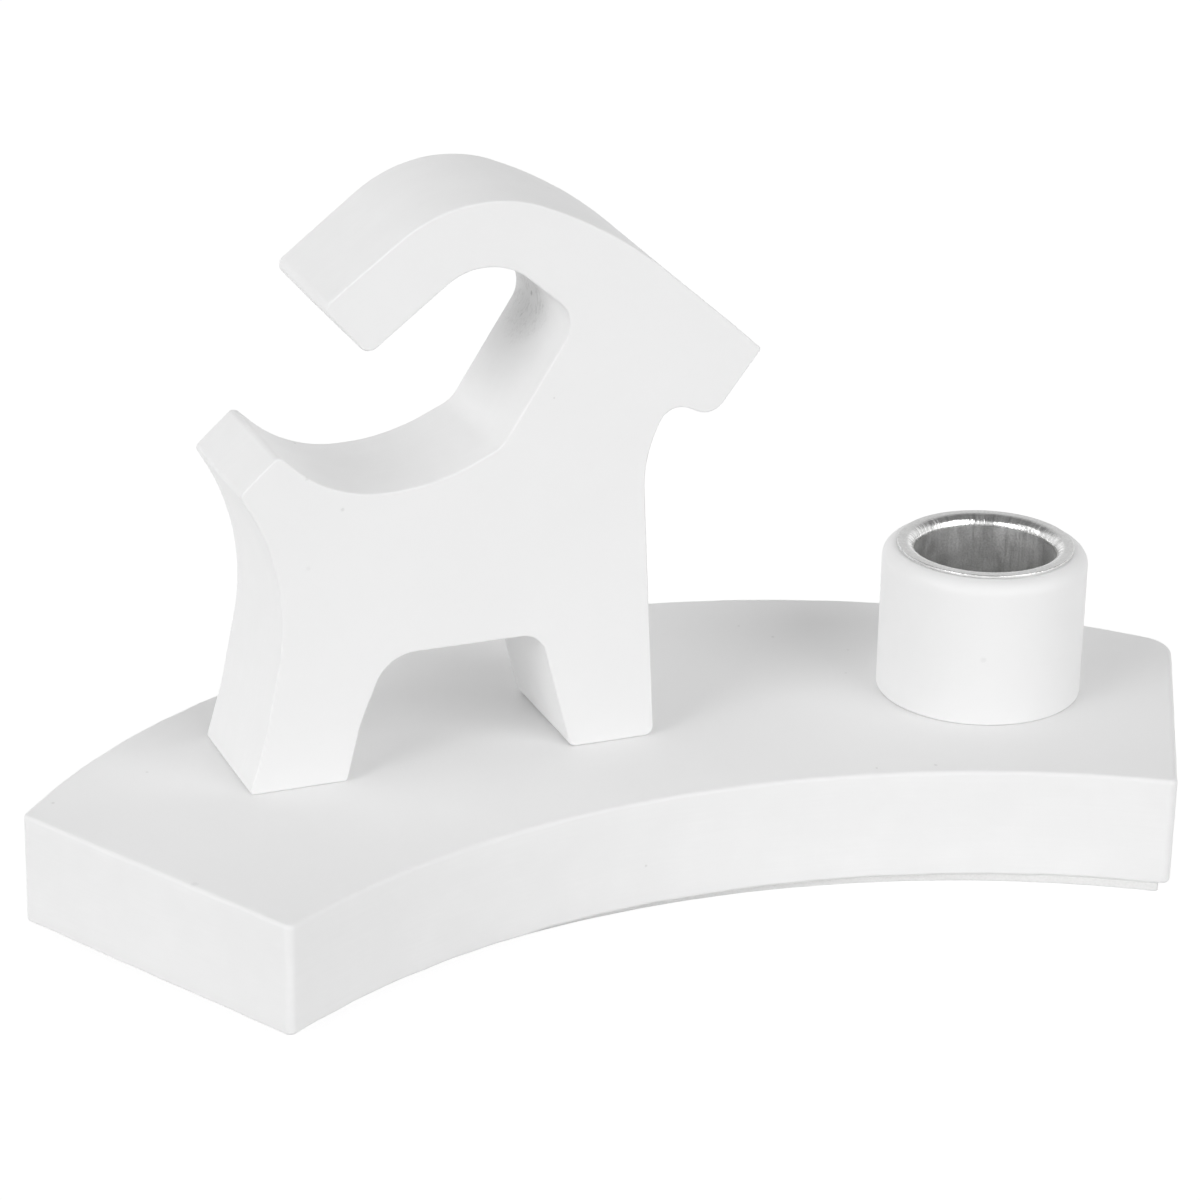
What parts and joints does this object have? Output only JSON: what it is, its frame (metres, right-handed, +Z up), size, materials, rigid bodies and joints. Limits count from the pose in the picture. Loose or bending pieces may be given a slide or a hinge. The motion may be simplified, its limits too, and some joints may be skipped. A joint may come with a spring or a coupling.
{
  "type": "candle holder",
  "caption": "Table candle holder: a curved painted wooden board carrying a flat goat figure and a turned cup with a drawn metal candle insert, on a thin foam sheet.",
  "frame": {"origin": "middle of the footprint's box, on the table", "axes": "+X along the board from the goat towards the candle cup, +Y away from the hollow front, +Z up"},
  "size_m": [0.1972, 0.0956, 0.1113],
  "materials": {
    "painted_wood": "matt white paint",
    "drawn_metal": "satin, drawn",
    "foam_sheet": "matt closed-cell foam",
    "plated_steel": "bright zinc"
  },
  "bodies": {
    "holder": {"base_board": "painted_wood", "goat_figure": "painted_wood", "candle_cup": "painted_wood", "base_pad": "foam_sheet", "goat_screws": "plated_steel", "cup_screw": "plated_steel"},
    "socket": {"candle_insert": "drawn_metal"}
  },
  "joints": [
    {"name": "socket_lift", "type": "slide", "parent": "holder", "child": "socket", "axis": [0, 0, 1], "range_m": [0, 0.022]}
  ]
}
